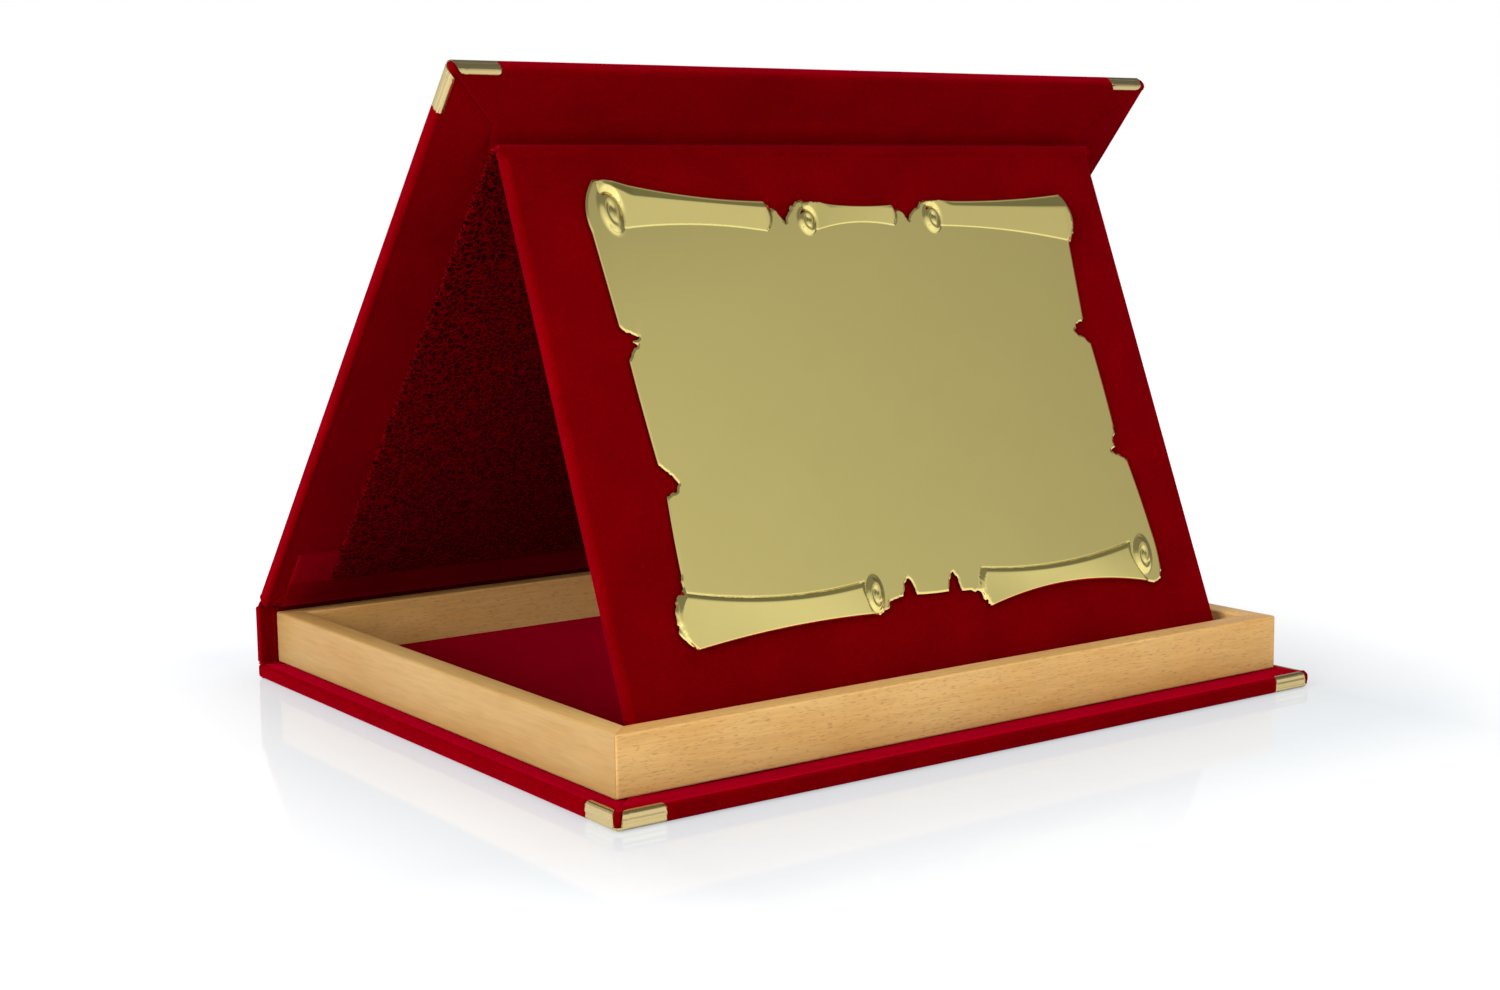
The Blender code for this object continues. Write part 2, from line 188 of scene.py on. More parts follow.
def soft_noise(place, scale, detail=2.0, roughness=0.5, output="Fac"):
    """Soft noise, its scale in cells per metre."""
    inputs = {"Vector": place, "Scale": scale, "Detail": detail, "Roughness": roughness}
    return add_node("TexNoise", inputs).outputs[output]


def bump(height, depth, strength, normal=None):
    """A bump with its depth in metres, on top of another normal if given."""
    inputs = {"Height": height, "Distance": depth, "Strength": strength}
    if normal is not None:
        inputs["Normal"] = normal
    return add_node("Bump", inputs).outputs["Normal"]


def paint(material, **values):
    """Sets the shader's inputs; underscores stand for spaces."""
    shader = material.node_tree.nodes["Principled BSDF"]
    for key, value in values.items():
        connect(shader.inputs[key.replace("_", " ")], value)
    return material


def velvet_material(name, colour=(0.15, 0.0001, 0.0007), sheen=0.5):
    """Short pile velvet, brighter along the pile."""
    material, tree = make_material(name)
    place = object_space(tree)
    brushed = soft_noise(place, 34, 3)
    pile = soft_noise(place, 1500, 2, 0.6)
    flecks = soft_noise(place, 420)
    patches = ramp(brushed, (0.36, 0), (0.66, 1))
    shade = tint(patches, scaled(colour, 0.9), scaled(colour, 1.1))
    shade = darken(shade, 0.6, flecks, (0.3, 0.8), (0.7, 1))
    shade = darken(shade, 0.7, pile, (0.25, 0.68), (0.75, 1))
    relief = bump(pile, 0.00022, 0.55)
    return paint(
        material, Base_Color=shade, Roughness=1, Specular_IOR_Level=0, Sheen_Weight=sheen,
        Sheen_Roughness=0.42, Sheen_Tint=(1, 0, 0.045, 1),
        Normal=bump(brushed, 0.0006, 0.3, relief),
    )


def lining_material():
    """Dark cells between fine dull red veins."""
    material, tree = make_material("figured_lining")
    place = object_space(tree)
    warp = soft_noise(place, 420, output="Color")
    bent = add_node("VectorMath", {0: warp, "Scale": 0.0034}, operation="SCALE").outputs[0]
    place = add_node("VectorMath", {0: place, 1: bent}, operation="ADD").outputs[0]
    inputs = {"Vector": place, "Scale": 420, "Randomness": 0.95}
    cells = add_node("TexVoronoi", inputs, feature="DISTANCE_TO_EDGE")
    weave = soft_noise(place, 1800, 1)
    vein = ramp(cells.outputs["Distance"], (0.02, 1), (0.17, 0))
    shade = tint(vein, (0.006, 0.0001, 0.0001), (0.18, 0.0002, 0.002))
    shade = darken(shade, 0.5, weave, (0.3, 0.6), (0.7, 1))
    relief = bump(vein, 0.0003, 0.8)
    return paint(
        material, Base_Color=shade, Roughness=0.9, Specular_IOR_Level=0, Sheen_Weight=0.2,
        Sheen_Tint=(1, 0, 0.03, 1), Normal=bump(weave, 0.0001, 0.5, relief),
    )


def beech_material(name, along, shift, painted_light, flecks, painted_top_light):
    """Sanded beech, grained along one axis; painted_light makes the whole rail lighter or darker as
    painted light and shade, and painted_top_light does the same for the faces that look upwards.
    """
    material, tree = make_material(name)
    slow, fine, short = (
        object_space(tree, [squeeze if axis == along else 1 for axis in range(3)], shift)
        for squeeze in (0.3, 0.07, 0.16)
    )
    bands = soft_noise(slow, 42, 3, 0.55)
    grain = soft_noise(fine, 900, 3, 0.6)
    ray = soft_noise(short, 1900, 1)
    # Both band colours are scaled by painted_light: painted light and shade for this rail's place.
    light = scaled((0.68, 0.42, 0.15), painted_light)
    warm = scaled((0.62, 0.335, 0.095), painted_light)
    shade = tint(ramp(bands, (0.34, 0), (0.68, 1)), light, warm)
    shade = darken(shade, 0.6, grain, (0.3, 0.80), (0.6, 1))
    marks = calculate("MULTIPLY", ramp(ray, (0.3, 1), (0.41, 0)), flecks)
    shade = tint(marks, shade, (0.42, 0.21, 0.07))
    # Painted light and shade on the top: faces that look upwards are multiplied by painted_top_light.
    facing = add_node("SeparateXYZ", {0: source(tree, "NewGeometry", "Normal")})
    painted_top_mask = ramp(facing.outputs["Z"], (0.75, 0), (0.97, 1))
    shade = tint(painted_top_mask, shade, (painted_top_light, painted_top_light, painted_top_light), "MULTIPLY")
    return paint(
        material, Base_Color=shade, Roughness=ramp(grain, (0.2, 0.5), (0.8, 0.4)),
        Specular_IOR_Level=0.25, Normal=bump(grain, 0.00008, 0.6),
    )


def metal_material(name, colour, roughness):
    """Polished metal with faint handling marks."""
    material, tree = make_material(name)
    place = object_space(tree)
    haze = soft_noise(place, 60, 4, 0.6)
    fine = soft_noise(place, 2600)
    return paint(
        material, Base_Color=tint(haze, scaled(colour, 0.94), colour), Metallic=1,
        Roughness=ramp(haze, (0.3, roughness), (0.7, roughness * 1.5)),
        Normal=bump(fine, 0.000003, 0.5),
    )


def fibre_material(name, colour, grain, depth):
    """Pressed board or foam with a speckled surface."""
    material, tree = make_material(name)
    speckle = soft_noise(object_space(tree), grain, 4, 0.7)
    patches = ramp(speckle, (0.35, 0), (0.65, 1))
    return paint(
        material, Base_Color=tint(patches, scaled(colour, 0.7), colour), Roughness=0.9,
        Specular_IOR_Level=0.1, Normal=bump(speckle, depth, 0.6),
    )


VELVET = velvet_material("red_velvet")
# A lighter copy of the velvet for the hinge tabs: its brighter base colour is a painted sheen of their
# pile, and its sheen weight is higher too.
SHEEN_LIT_VELVET = velvet_material("sheen_lit_velvet", (0.22, 0.0001, 0.004), 0.7)
# A darker copy of the velvet paints shade on the tray's floor; its sheen weight is lower too.
SHADED_TRAY_VELVET = velvet_material("shaded_tray_velvet", (0.115, 0.0001, 0.0006), 0.35)
LINING = lining_material()
GOLD = metal_material("gold_plate", (0.81, 0.69, 0.25), 0.09)
BRASS = metal_material("corner_brass", (0.57, 0.46, 0.22), 0.14)
GREYBOARD = fibre_material("greyboard", (0.36, 0.33, 0.28), 700.0, 0.0001)
FOAM = fibre_material("foam_tape", (0.8, 0.8, 0.78), 1500.0, 0.0002)


# ---- mesh helpers

def local_box(node, place=WORLD):
    """A CAD node's lowest and highest corner in a local frame."""
    inverse = place.inverted()
    corners = np.array([inverse @ v.co for v in frame["nodes"][node].data.vertices]) / MM
    return corners.min(axis=0), corners.max(axis=0)


def new_piece(name, points, faces, material, place=WORLD):
    """A smooth mesh object with its faces turned outwards."""
    mesh = bpy.data.meshes.new(name)
    mesh.from_pydata((np.asarray(points, float) * MM).tolist(), [], faces)
    bm = bmesh.new()
    bm.from_mesh(mesh)
    bmesh.ops.remove_doubles(bm, verts=bm.verts, dist=0.002 * MM)
    bmesh.ops.dissolve_degenerate(bm, edges=bm.edges, dist=0.001 * MM)
    bmesh.ops.recalc_face_normals(bm, faces=bm.faces)
    bm.to_mesh(mesh)
    bm.free()
    mesh.materials.append(material)
    mesh.shade_smooth()
    piece = bpy.data.objects.new(name, mesh)
    bpy.context.scene.collection.objects.link(piece)
    piece.matrix_world = place
    return piece


def settle(piece, body, *nodes, slot="red_velvet", **hinge):
    """Puts a piece on its body, or, given a hinge, only bakes its place into its mesh; hides the
    CAD nodes it stands for. The slot and the hinge's start and end are not used."""
    if hinge:
        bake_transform(piece)
    else:
        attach(piece, body)
    if nodes:
        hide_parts(*nodes)


def ease(value):
    """Smooth step from 0 to 1."""
    value = np.clip(value, 0, 1)
    return value * value * (3 - 2 * value)


def spread(low, high, spacing):
    """Even places, no further apart than the spacing."""
    count = max(1, math.ceil(abs(high - low) / spacing))
    return np.linspace(low, high, count + 1)


def grid_faces(rows, columns):
    """Quads over a grid of points."""
    corners = [row * columns + column for row in range(rows - 1) for column in range(columns - 1)]
    return [(a, a + 1, a + columns + 1, a + columns) for a in corners]


def displace(piece, amount):
    """Moves each vertex along its normal by amount(point)."""
    mesh = piece.data
    normals = [vertex.normal.copy() for vertex in mesh.vertices]
    for vertex, normal in zip(mesh.vertices, normals):
        vertex.co += normal * (amount(vertex.co / MM) * MM)
    mesh.update()


def soft_waves(point, seed):
    """Slow unevenness of glued cloth."""
    broad = noise.noise(Vector((point.x * 0.022 + seed, point.y * 0.022, point.z * 0.05)))
    close = noise.noise(Vector((point.x * 0.11, point.y * 0.11 + seed, point.z * 0.2)))
    return 0.22 * broad + 0.09 * close


# ---- wrapped boards

# Extra places for points along a board's side, from its corner
NEAR_CORNER = np.array((0, 0.4, 0.9, 1.5, 2.2, 3.0, 3.8, 5, 8, 12, 16, 19, 20, 21, 23), float)
SIDE_STEPS = 34
CORNERS = np.array(((-1, -1), (1, -1), (1, 1), (-1, 1)), float)


def side_places(length):
    """Places along one side, without the last corner."""
    near = NEAR_CORNER * min(1, length / (2 * NEAR_CORNER[-1] + 12))
    middle = np.linspace(near[-1], length - near[-1], SIDE_STEPS + 1)[1:-1]
    return np.concatenate((near, middle, (length - near)[::-1]))[:-1]


def round_corner(beyond):
    """Draws points beyond a corner's centre in from the square to the arc."""
    in_corner = (beyond > 0).all(axis=1)
    distance = np.maximum(np.hypot(*beyond.T), 1e-9)
    return beyond * np.where(in_corner, beyond.max(axis=1) / distance, 1)[:, None]


def round_in_plan(points, half, radius):
    """Rounds the corners of a rectangle of half sizes half."""
    flat = half - radius
    return np.sign(points) * (flat + round_corner(np.abs(points) - flat))


def rectangle_loop(half, inset, height, radius):
    """Points round a rounded rectangle, at one inset and height."""
    corners = CORNERS * (half - inset)
    sides = []
    for start, end in zip(corners, np.roll(corners, -1, axis=0)):
        length = np.abs(end - start).max()
        sides.append(start + np.outer(side_places(length) / length, end - start))
    plan = round_in_plan(np.concatenate(sides), half, radius)
    return np.column_stack((plan, np.full(len(plan), height)))


def edge_arcs(radius, thick, count):
    """(inset, height) points round a board's outer edge, and its inner edge."""
    angles = np.radians(np.linspace(0, 90, count))
    low = [(radius - radius * math.sin(a), radius - radius * math.cos(a)) for a in angles]
    high = [(radius - radius * math.cos(a), thick - radius + radius * math.sin(a)) for a in angles]
    return low, high


def wrap_profile(thick, window, reach, radius):
    """(inset, height) stations: outer face, edge, turn-in, cut edge, and back inside."""
    low_arc, high_arc = edge_arcs(radius, thick, 7)
    stations = [(inset, 0) for inset in spread(reach, radius, 9)[:-1]] + low_arc
    stations += [(0, z) for z in spread(radius, thick - radius, 0.9)[1:-1]] + high_arc
    stations += [(inset, thick) for inset in spread(radius, window - 0.5, 2.4)[1:]]
    stations += [(window - 0.1, thick - 0.15), (window, thick - 0.45)]
    stations += [(window - 0.2, thick - CLOTH), (CLOTH + 1.1, thick - CLOTH)]
    stations += [(CLOTH, thick - CLOTH - 1.1), (CLOTH, CLOTH + 1.1), (CLOTH + 1.1, CLOTH)]
    return stations + [(reach, CLOTH)]


def bridge(ring_count, ring_size):
    """Quads between closed rings, and a face on both ends."""
    faces = []
    for base in range(0, (ring_count - 1) * ring_size, ring_size):
        for step in range(ring_size):
            after = (step + 1) % ring_size
            faces.append((base + step, base + after, base + ring_size + after, base + ring_size + step))
    faces.append(tuple(reversed(range(ring_size))))
    faces.append(tuple(range((ring_count - 1) * ring_size, ring_count * ring_size)))
    return faces


def stacked_loops(name, half, stations, radius, material, place):
    """A closed solid through rounded rectangles at (inset, height) stations."""
    rings = [rectangle_loop(half, inset, height, radius) for inset, height in stations]
    return new_piece(name, np.concatenate(rings), bridge(len(rings), len(rings[0])), material, place)


def mitre_ridge(inset_x, inset_y, window):
    """The folded mitre of a turn-in, one flap over the other."""
    offset = inset_x - inset_y
    nearer = min(inset_x, inset_y)
    if nearer < EDGE_RADIUS or nearer > window + 1 or abs(offset) > 9:
        return 0
    flap = 0.6 * ease((offset + 0.4) / 0.8) * math.exp(-max(offset, 0) / 4.5)
    groove = 0.35 * math.exp(-(((offset + 0.6) / 0.7) ** 2))
    return (flap - groove) * ease((nearer - EDGE_RADIUS) / 3)


def under_brass(inset_x, inset_y, height, thick):
    """How far a corner protector presses the cloth in at a point, 0 to 1."""
    nearest = min(inset_x, inset_y)
    along = max(inset_x, inset_y)
    if inset_x + inset_y > BRASS_ARM + 4:
        return 0
    if height < 0.3:
        return ease((BRASS_ARM + 0.3 - inset_x - inset_y) / 0.6)
    end = ease((BRASS_ARM + 0.3 - along) / 0.6)
    clear = ease((along - nearest - MITRE_GAP + 0.6) / 0.6)
    if height > thick - 0.4:
        return end * clear * ease((FLAP + 0.5 - nearest) / 0.6)
    return end * max(clear, ease((3 - height) / 0.8))


def wrapped_board(name, node, body, place, window, seed, outer_low=True, radius=EDGE_RADIUS,
                  brass=False, detail=1, extra=0, highest_fold=1):
    """A velvet wrap the size of a CAD cover, with the board's pocket inside. outer_low: the full
    face has the low Z; brass: the low-Y corners are pressed in; detail scales the folds; extra
    lengthens the high-Y end; highest_fold limits the turned-in cloth's waves."""
    low, high = local_box(node, place)
    high[1] += extra
    centre = (low + high) / 2
    half = (high - low)[:2] / 2
    thick = float(high[2] - low[2])
    seat = place @ Matrix.Translation(Vector((*centre[:2], low[2] if outer_low else high[2])) * MM)
    if not outer_low:
        seat @= Matrix.Rotation(math.pi, 4, "X")
    stations = wrap_profile(thick, window, min(half) - 1, radius)
    piece = stacked_loops(name, half, stations, radius, VELVET, seat)
    brass_sign = -1 if outer_low else 1

    def amount(point):
        inset_x = half[0] - abs(point.x)
        inset_y = half[1] - abs(point.y)
        nearest = min(inset_x, inset_y)
        if nearest > 0.5 and 0.4 < point.z < thick - 0.3:
            return 0
        push = soft_waves(point, seed) * (0.35 if nearest < 3 else 1) * detail
        if point.z < 0.3:
            push = min(push, 0)
        if point.z > thick - 0.6:
            push += mitre_ridge(inset_x, inset_y, window) * detail
            push -= detail * EDGE_CREASE * math.exp(-((nearest - 2.1) / 0.45) ** 2)
            push = min(push, highest_fold)
        if max(inset_x, inset_y) < 2.4:
            pleat = (inset_x - inset_y) / 0.45
            push += detail * (0.25 - 0.5 * math.exp(-(pleat**2)))
        if brass and point.y * brass_sign > 0:
            pressed = under_brass(inset_x, inset_y, point.z, thick)
            push = push * (1 - pressed) - PRESSED * pressed
        return float(push)

    displace(piece, amount)
    settle(piece, body, node)


# ---- cloth sheets

def cloth_sheet(name, x_range, path, thick, material=VELVET, place=WORLD,
                side=-1, spacing=7, waves=0):
    """A sheet with rounded borders, swept along X over a path of (y, z) points. Its back lies on
    the path and its face is raised by the thickness towards side."""
    path = np.asarray(path, float)
    lengths = np.concatenate(([0], np.cumsum(np.hypot(*np.diff(path, axis=0).T))))
    total = lengths[-1]
    width = x_range[1] - x_range[0]
    rim = min(thick, total / 4, width / 4)
    near = np.array((0, 0.05, 0.2, 0.5, 1)) * rim

    def stations(length, step):
        return np.concatenate((near, spread(1.5 * rim, length - 1.5 * rim, step), length - near[::-1]))

    def roundness(places, length):
        distance = np.minimum(places, length - places)
        return np.sqrt(1 - (1 - np.clip(distance / rim, 0, 1)) ** 2)

    along = stations(total, spacing / 2)
    across = stations(width, spacing)
    centre = np.column_stack([np.interp(along, lengths, path[:, axis]) for axis in (0, 1)])
    tangent = np.gradient(centre, along, axis=0)
    tangent /= np.linalg.norm(tangent, axis=1)[:, None]
    normal = np.column_stack((-tangent[:, 1], tangent[:, 0])) * side
    back = np.empty((len(across), len(along), 3))
    back[..., 0] = (x_range[0] + across)[:, None]
    back[..., 1:] = centre
    front = back.copy()
    lift = thick * np.outer(roundness(across, width), roundness(along, total))
    front[..., 1:] += lift[..., None] * normal
    points = np.concatenate((front, back)).reshape(-1, 3)
    faces = grid_faces(len(across), len(along))
    shift = len(points) // 2
    faces += [tuple(shift + corner for corner in reversed(face)) for face in faces]
    piece = new_piece(name, points, faces, material, place)

    def amount(point):
        inner = min(point.x - x_range[0], x_range[1] - point.x)
        return waves * soft_waves(point, 3) * 0.5 * float(ease(inner / 4))

    displace(piece, amount)
    return piece


def curve(points, steps=6):
    """A smooth Catmull-Rom path through (y, z) points."""
    points = [np.array(p, float) for p in points]
    padded = [2 * points[0] - points[1], *points, 2 * points[-1] - points[-2]]
    path = []
    for a, b, c, d in zip(padded, padded[1:], padded[2:], padded[3:]):
        bend = 2 * a - 5 * b + 4 * c - d
        twist = 3 * b - a - 3 * c + d
        for t in np.arange(steps) / steps:
            path.append(0.5 * (2 * b + (c - a) * t + bend * t**2 + twist * t**3))
    return path + [points[-1]]


def spot(place, y, z):
    """A point of a local YZ plane, in the world and in metres."""
    return place @ Vector((0, y * MM, z * MM))


def to_world(place, *points):
    """(y, z) points of a local plane as (y, z) points of the world."""
    spots = [spot(place, y, z) / MM for y, z in points]
    return [(point.y, point.z) for point in spots]


def end_strips(high, inner, outer):
    """A name and an X range near each end, between two distances from it."""
    return [(name, sorted((side * (high - inner), side * (high - outer)))) for side, name in SIDES]


# ---- base

def build_base():
    """The covered base, the spine and the tray's floor."""
    wrapped_board("base_velvet", "base_cover", "base", WORLD, TURN_IN, seed=1, brass=True)
    build_spine()
    low, high = local_box("tray_floor_velvet")
    path = [(low[1], low[2]), (high[1], low[2])]
    thick = high[2] - low[2]
    # The tray floor gets the darker velvet copy: painted shade.
    floor = cloth_sheet(
        "tray_floor_cloth", (low[0], high[0]), path, thick, SHADED_TRAY_VELVET, side=1, waves=0.6
    )
    settle(floor, "base", "tray_floor_velvet")


def build_spine():
    """The spine's wrap, the velvet that joins it to the base, and its lining's ends."""
    stand = Matrix.Rotation(math.pi / 2, 4, "X")
    wrapped_board(
        "spine_velvet", "spine_cover", "base", stand, SPINE_TURN_IN, seed=5, radius=SPINE_RADIUS,
        detail=0.15, extra=SPINE_RISE,
    )
    low, high = local_box("spine_cover")
    rear = high[1] - 0.4
    points = ((rear - 1.2, 0.35), (rear - 0.3, 1.3), (rear, 3), (rear, 10), (rear, 22))
    edges = (low[0] + 1.6, high[0] - 1.6)
    settle(cloth_sheet("base_fold_velvet", edges, curve(points, 8), 0.6, waves=0.3), "base")
    crease_height = low[2] - 0.75
    path = [(low[1] - 0.28, crease_height), (high[1] - 0.3, crease_height)]
    edges = (low[0] + 0.3, high[0] - 0.3)
    settle(cloth_sheet("base_crease_velvet", edges, path, 1.4, side=1), "base")
    rail_low, rail_high = local_box("rear_rail")
    back = rail_high[1] + 0.32
    path = [(back, rail_low[2] - 0.1), (back, low[2] + 23.6)]
    for name, edges in end_strips(rail_high[0], 6, -1.8):
        strip = cloth_sheet(f"spine_lining_end_{name}", edges, path, 0.3, side=1, spacing=2)
        settle(strip, "base")


def rail_section(width, low, high):
    """The rail's section as (inset, height) points with rounded arrises."""
    section = []
    corners = ((width - ARRIS, low + ARRIS, -90), (width - ARRIS, high - ARRIS, 0))
    corners += ((ARRIS, high - ARRIS, 90), (ARRIS, low + ARRIS, 180))
    for inset, height, start in corners:
        for angle in np.radians(np.linspace(start, start + 90, 6)):
            section.append((inset + ARRIS * math.cos(angle), height + ARRIS * math.sin(angle)))
    return section


# Each rail's painted light and shade, its flecks' strength and its top's painted light and shade,
# counter-clockwise in plan
RAILS = {
    "front_rail": (1, 0.7, 0.86),
    "right_rail": (0.95, 0.5, 1),
    "rear_rail": (1.35, 0.4, 0.75),
    "left_rail": (0.57, 0.2, 1.5),
}


def build_rails():
    """Four rails, mitred at the corners of one rounded frame."""
    lows, highs = zip(*(local_box(name) for name in RAILS))
    low = np.min(lows, axis=0)
    high = np.max(highs, axis=0)
    centre = (low + high)[:2] / 2
    half = (high - low)[:2] / 2
    section = rail_section(highs[0][1] - lows[0][1], low[2], high[2])
    for number, (name, looks) in enumerate(RAILS.items()):
        shift = (0.37 * number, 0.11, 0.05 * number)
        material = beech_material("beech_" + name, number % 2, shift, *looks)
        rings = []
        for inset, height in section:
            first = CORNERS[number] * (half - inset)
            last = CORNERS[(number + 1) % 4] * (half - inset)
            length = np.abs(last - first).max()
            places = np.append(side_places(length), length)
            places[0] = GLUE_GAP
            places[-1] = length - GLUE_GAP
            line = first + np.outer(places / length, last - first)
            line = round_in_plan(line, half, PLAN_ROUNDING) + centre
            rings.append(np.column_stack((line, np.full(len(line), height))))
        rings = np.array(rings).transpose(1, 0, 2)
        faces = bridge(len(rings), len(section))
        rail = new_piece(name + "_beech", rings.reshape(-1, 3), faces, material)
        rail.data.set_sharp_from_angle(angle=math.radians(38))
        settle(rail, "base", name, slot="beech")


# ---- lid

def build_lid():
    """The covered lid with its figured lining."""
    wrapped_board(
        "lid_velvet", "lid_cover", "lid", LID, LID_TURN_IN, seed=9, outer_low=False, brass=True,
        extra=-LID_SETBACK,
    )
    low, high = local_box("lid_lining", LID)
    lid_face = local_box("lid_cover", LID)[0][2] - 0.05
    path = [(low[1] - 0.4, lid_face), (high[1] + 0.6, lid_face)]
    lining = cloth_sheet(
        "lid_lining_cloth", (low[0] - 0.6, high[0] + 0.6), path, lid_face - low[2] - 0.1, LINING,
        LID, spacing=4, waves=0.5,
    )
    settle(lining, "lid", "lid_lining", slot="figured_lining")


def build_lid_core():
    """The greyboard inside the lid's wrap."""
    low, high = local_box("lid_board", LID)
    high[1] -= LID_SETBACK
    half = (high - low)[:2] / 2
    top = float(high[2] - low[2])
    stations = ((8, 0), (0.3, 0), (0, 0.3), (0, top - 0.3), (0.3, top), (8, top))
    seat = LID @ Matrix.Translation(Vector((*((low + high) / 2)[:2], low[2])) * MM)
    core = stacked_loops("lid_core_board", half, stations, 0.6, GREYBOARD, seat)
    settle(core, "lid", "lid_board", slot="greyboard")


def build_outer_hinge():
    """The outer velvet from the spine over the crease to the lid's outside."""
    low, high = local_box("base_cover")
    rear = high[1]
    skin = rear - 0.45
    points = [(skin, 17), (skin, 24), (skin, 29.5)]
    points += to_world(LID, (-0.6, 0.45), (-5, 0.5), (-13, 0.5))
    edges = (low[0] + 1.7, high[0] - 1.7)
    cloth = cloth_sheet("outer_hinge_velvet", edges, curve(points, 8), 0.75, waves=0.4)
    hinge = {"start": spot(WORLD, rear, 29.8), "end": spot(LID, -3.2, 0.95)}
    settle(cloth, ("base", "lid"), "lid_hinge_cloth", **hinge)
    points = [(rear - 3, 28.6), (rear - 3, 30.6), *to_world(LID, (-3.4, -2.2), (-7, -2.2))]
    for name, edges in end_strips(high[0], 6, 0.25):
        tuck = cloth_sheet(f"hinge_end_{name}", edges, curve(points), 2.4, spacing=1.5)
        settle(tuck, ("base", "lid"), **hinge)


def build_inner_hinge():
    """The strip from the lid's inner face down behind the rear rail, and its longer ends."""
    low, high = local_box("inner_hinge_strip", LID)
    rail_back, rail_top = local_box("rear_rail")[1][1:]
    face = high[2] + 0.05
    points = to_world(LID, (low[1] + 0.5, face), (-14, face), (-8, face))
    points += to_world(LID, (-5.4, face + 0.25), (-4.3, face + 1.7))
    points += [(rail_back + 0.75, rail_top + 2.9), (rail_back + 0.35, rail_top + 1.9)]
    points += [(rail_back + 0.25, rail_top + 0.4), (rail_back + 0.2, rail_top - 2.2)]
    cloth = cloth_sheet("inner_hinge_cloth", (low[0], high[0]), curve(points), 0.55, waves=0.3)
    start = spot(WORLD, rail_back + 0.5, rail_top + 1.6)
    end = spot(LID, -5.2, face)
    settle(cloth, ("base", "lid"), "inner_hinge_strip", start=start, end=end)
    lining_end = local_box("lid_lining", LID)[1][0]
    back = high[2] + 0.3
    path = [(low[1] - 17.5, back), (low[1] + 2.5, back)]
    for name, edges in end_strips(high[0], high[0] - lining_end + 3, 0):
        name = f"hinge_tab_{name}"
        # The tabs wear the lighter velvet copy, a painted sheen.
        tab = cloth_sheet(name, edges, path, 0.75, SHEEN_LIT_VELVET, LID, spacing=5, waves=0.5)
        settle(tab, "lid")


# ---- panel

def build_panel():
    """The covered easel panel and the cloth on its back."""
    wrapped_board(
        "panel_velvet", "panel_cover", "panel", PANEL, TURN_IN, seed=14, outer_low=False,
        highest_fold=0.1,
    )
    low, high = local_box("panel_back_lining", PANEL)
    path = [(low[1], high[2] + 0.2), (high[1], high[2] + 0.2)]
    back = cloth_sheet(
        "panel_back_cloth", (low[0], high[0]), path, high[2] - low[2] + 0.1, place=PANEL,
        spacing=8, waves=0.4,
    )
    settle(back, "panel", "panel_back_lining")


def build_hinge_band():
    """The cloth that hangs the panel from the lid and laps over its front."""
    low, high = local_box("panel_cover", PANEL)
    lining = local_box("lid_lining", LID)[0][1]
    top, front = high[1:]
    points = to_world(
        LID, (lining - 8, -5.4), (lining - 4, -5.8), (lining - 0.6, -6.9), (lining + 1.6, -7.5)
    )
    points += to_world(
        PANEL, (top + 0.9, -0.4), (top + 0.35, 1.2), (top + 0.2, front - 1.6),
        (top - 0.15, front - 0.2), (top - 1.2, front + 0.1), (top - 4.3, front),
    )
    edges = (low[0] - 1.6, high[0] + 1.6)
    path = curve(points)
    band = cloth_sheet("panel_hinge_band", edges, path, 0.7, side=1, spacing=6, waves=0.5)
    start = spot(LID, lining + 0.4, -7.2)
    end = spot(PANEL, top + 0.35, 1.2)
    settle(band, ("lid", "panel"), "panel_hinge_cloth", start=start, end=end)


# ---- scroll plate

# The plate's outline from its centre, clockwise: (x, y, outward bow of the stretch to the next point)
OUTLINE = (
    # top left roll and its lobe
    (-114, 32.5, 0), (-116.2, 68, 2.6), (-111.5, 87.7, 0.3), (-104.5, 87.4, -1.7),
    (-38.9, 78.8, 0.7), (-36.3, 75.6, 0.1), (-34.6, 75.7, 0.7), (-30.3, 69.6, 0.5),
    # middle roll
    (-26.8, 74.8, 1), (-21.8, 78.6, 0.4), (-14.7, 77.9, -1), (22.6, 76.5, 0.3), (24.2, 74.7, 0.3),
    (28.3, 73, 0), (29.9, 69.4, 0.4),
    # top right roll
    (32.6, 73.2, 0.5), (35.6, 74.9, 0.2), (37.4, 76.6, 0.6), (41, 78, 0.1), (45.9, 77.8, -1.1),
    (112.9, 79.7, 1.5), (117.9, 69, 1.2), (112.6, 58, 0),
    # torn right side
    (108.9, 25, 0.3), (104.3, 23.1, 0.4), (102.1, 20.2, -0.3), (105.7, 17.4, 0.5), (109.5, 13.7, 0.3),
    (109.6, -22, 0.6), (106.8, -27.9, 0.2), (107.4, -30.3, -0.3), (104.2, -32, 0.3),
    # bottom right roll
    (111.9, -36, 0.3), (114.6, -66, 0.5), (114.2, -82, 1.7), (108.6, -87.6, -5),
    (21.6, -87, 0.3),
    # bottom edge with two nicks
    (18.3, -80.7, -0.2), (9.6, -79.2, -0.3), (7.3, -71.4, -0.5), (3, -78.6, 0.2),
    (-12.2, -78, -0.5), (-14.3, -71.6, -0.5), (-18.8, -77.8, 0),
    # bottom left roll
    (-25.3, -78.9, 0.5), (-29.6, -82.7, 0.3), (-33, -83.2, -1.6), (-112.2, -86.1, 0.3),
    (-117.9, -80.4, 0.5), (-117.8, -70.5, 0.7), (-113.4, -64.4, 0),
    # torn left side
    (-112.3, -59, 0.2), (-110.8, -30.9, 0.2), (-106.2, -29.6, 0.4), (-104.6, -26.8, -0.3),
    (-107.7, -22.6, 0.4), (-111.3, -18.5, 0.2), (-113.1, 19.7, 0.6), (-108.3, 25.1, 0),
    (-110, 26.4, -0.3), (-106.7, 28.4, 0.3), (-112.4, 30.7, 0.2),
)

